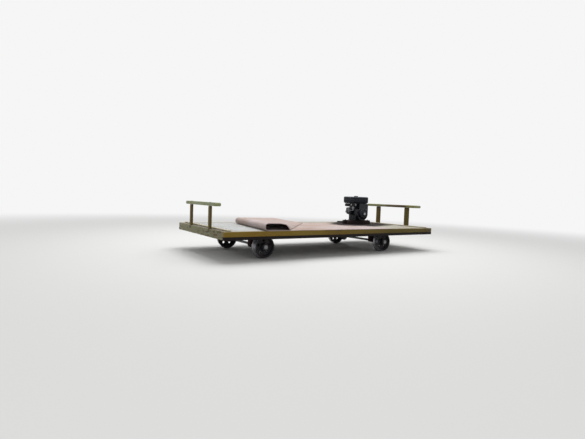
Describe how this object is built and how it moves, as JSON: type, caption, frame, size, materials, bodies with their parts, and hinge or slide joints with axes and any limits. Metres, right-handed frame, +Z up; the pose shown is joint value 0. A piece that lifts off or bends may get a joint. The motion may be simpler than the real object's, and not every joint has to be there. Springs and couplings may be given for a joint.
{
  "type": "demountable motor rail trolley",
  "caption": "Flat bamboo-decked motor rail trolley with end rails and a small petrol engine, its deck resting on two loose flanged wheelsets that it lifts off.",
  "frame": {"origin": "under the middle of the deck, at the lowest point of the wheel flanges", "axes": "+X along the track towards the engine end, +Y across the track towards the belt side, +Z up"},
  "size_m": [3.315, 1.45, 0.7782],
  "materials": {
    "yellow_beam": "golden yellow gloss paint, worn and dusty, over sawn timber",
    "dark_rail": "dark stained timber, bare and weathered",
    "pale_beam": "faded khaki paint on sawn timber",
    "frame_timber": "bare brown timber",
    "bamboo": "split bamboo, bleached pale grey",
    "batten": "pale cream timber",
    "post_paint": "ochre paint, worn",
    "rail_paint": "olive yellow paint, worn and faded on top",
    "saddle_timber": "dark maroon hardwood, oily",
    "bearing_iron": "greasy dark iron",
    "axle_steel": "bright turned steel with a film of oil",
    "wheel_iron": "near black iron, treads worn bright",
    "pulley_iron": "dark iron, groove worn bright",
    "belt_rubber": "black rubber and cloth",
    "engine_casting": "near black engine enamel, oily",
    "engine_sheet": "black enamel on sheet steel",
    "bare_aluminium": "bare cast aluminium, dull",
    "tank_paint": "dark blue black gloss enamel",
    "black_plastic": "black moulded plastic",
    "muffler_steel": "heat dulled black steel",
    "mat_weave": "thin woven mat, faded pinkish tan"
  },
  "bodies": {
    "front_bearings": {"bearing_front_off_side": "bearing_iron", "bearing_front_belt_side": "bearing_iron"},
    "deck": {"side_beam_off_side": "yellow_beam", "side_beam_belt_side": "yellow_beam", "under_rail_off_side": "dark_rail", "under_rail_belt_side": "dark_rail", "end_beam_plain_end": "pale_beam", "end_beam_engine_end": "yellow_beam", "stringer_off_side": "dark_rail", "stringer_belt_side": "dark_rail", "cross_beams": "frame_timber", "slats_off_side": "bamboo", "slats_middle": "bamboo", "slats_belt_side": "bamboo", "end_batten_plain_end": "batten", "end_batten_engine_end": "batten", "end_posts_plain_end": "post_paint", "top_rail_plain_end": "rail_paint", "end_posts_engine_end": "post_paint", "top_rail_engine_end": "rail_paint", "saddle_front_off_side": "saddle_timber", "saddle_front_belt_side": "saddle_timber", "saddle_rear_off_side": "saddle_timber", "saddle_rear_belt_side": "saddle_timber", "engine_bearers": "frame_timber", "crankcase": "engine_casting", "cylinder": "engine_casting", "valve_cover": "bare_aluminium", "fan_housing": "engine_sheet", "starter": "engine_sheet", "starter_grip": "black_plastic", "tank_brackets": "engine_sheet", "fuel_tank": "tank_paint", "fuel_cap": "black_plastic", "air_cleaner": "black_plastic", "muffler": "muffler_steel", "carburettor": "bare_aluminium", "drive_belt": "belt_rubber", "deck_mat": "mat_weave", "mat_crease": "mat_weave", "mat_fold_top": "mat_weave", "mat_fold_slope": "mat_weave", "mat_fold_edge": "mat_weave"},
    "rear_bearings": {"bearing_rear_off_side": "bearing_iron", "bearing_rear_belt_side": "bearing_iron"},
    "front_wheelset": {"axle_front": "axle_steel", "wheel_front_off_side": "wheel_iron", "wheel_front_belt_side": "wheel_iron"},
    "rear_wheelset": {"axle_rear": "axle_steel", "wheel_rear_off_side": "wheel_iron", "wheel_rear_belt_side": "wheel_iron", "axle_pulley": "pulley_iron"},
    "output_pulley": {"engine_pulley": "pulley_iron", "output_shaft": "axle_steel"}
  },
  "joints": [
    {"name": "deck_lift", "type": "slide", "parent": "front_bearings", "child": "deck", "axis": [0, 0, 1], "range_m": [0, 0.35]},
    {"name": "rear_bearings_stay", "type": "slide", "parent": "deck", "child": "rear_bearings", "axis": [0, 0, -1], "range_m": [0, 0.35]},
    {"name": "front_wheelset_spin", "type": "hinge", "parent": "front_bearings", "child": "front_wheelset", "pos_m": [-1.07, 0, 0.14], "axis": [0, 1, 0], "continuous": true},
    {"name": "rear_wheelset_spin", "type": "hinge", "parent": "rear_bearings", "child": "rear_wheelset", "pos_m": [0.85, 0, 0.14], "axis": [0, 1, 0], "continuous": true},
    {"name": "output_pulley_spin", "type": "hinge", "parent": "deck", "child": "output_pulley", "pos_m": [0.985, 0.3, 0.506], "axis": [0, 1, 0], "continuous": true}
  ],
  "couplings": [
    {"joint": "rear_bearings_stay", "follows": "deck_lift", "ratio": 1}
  ]
}
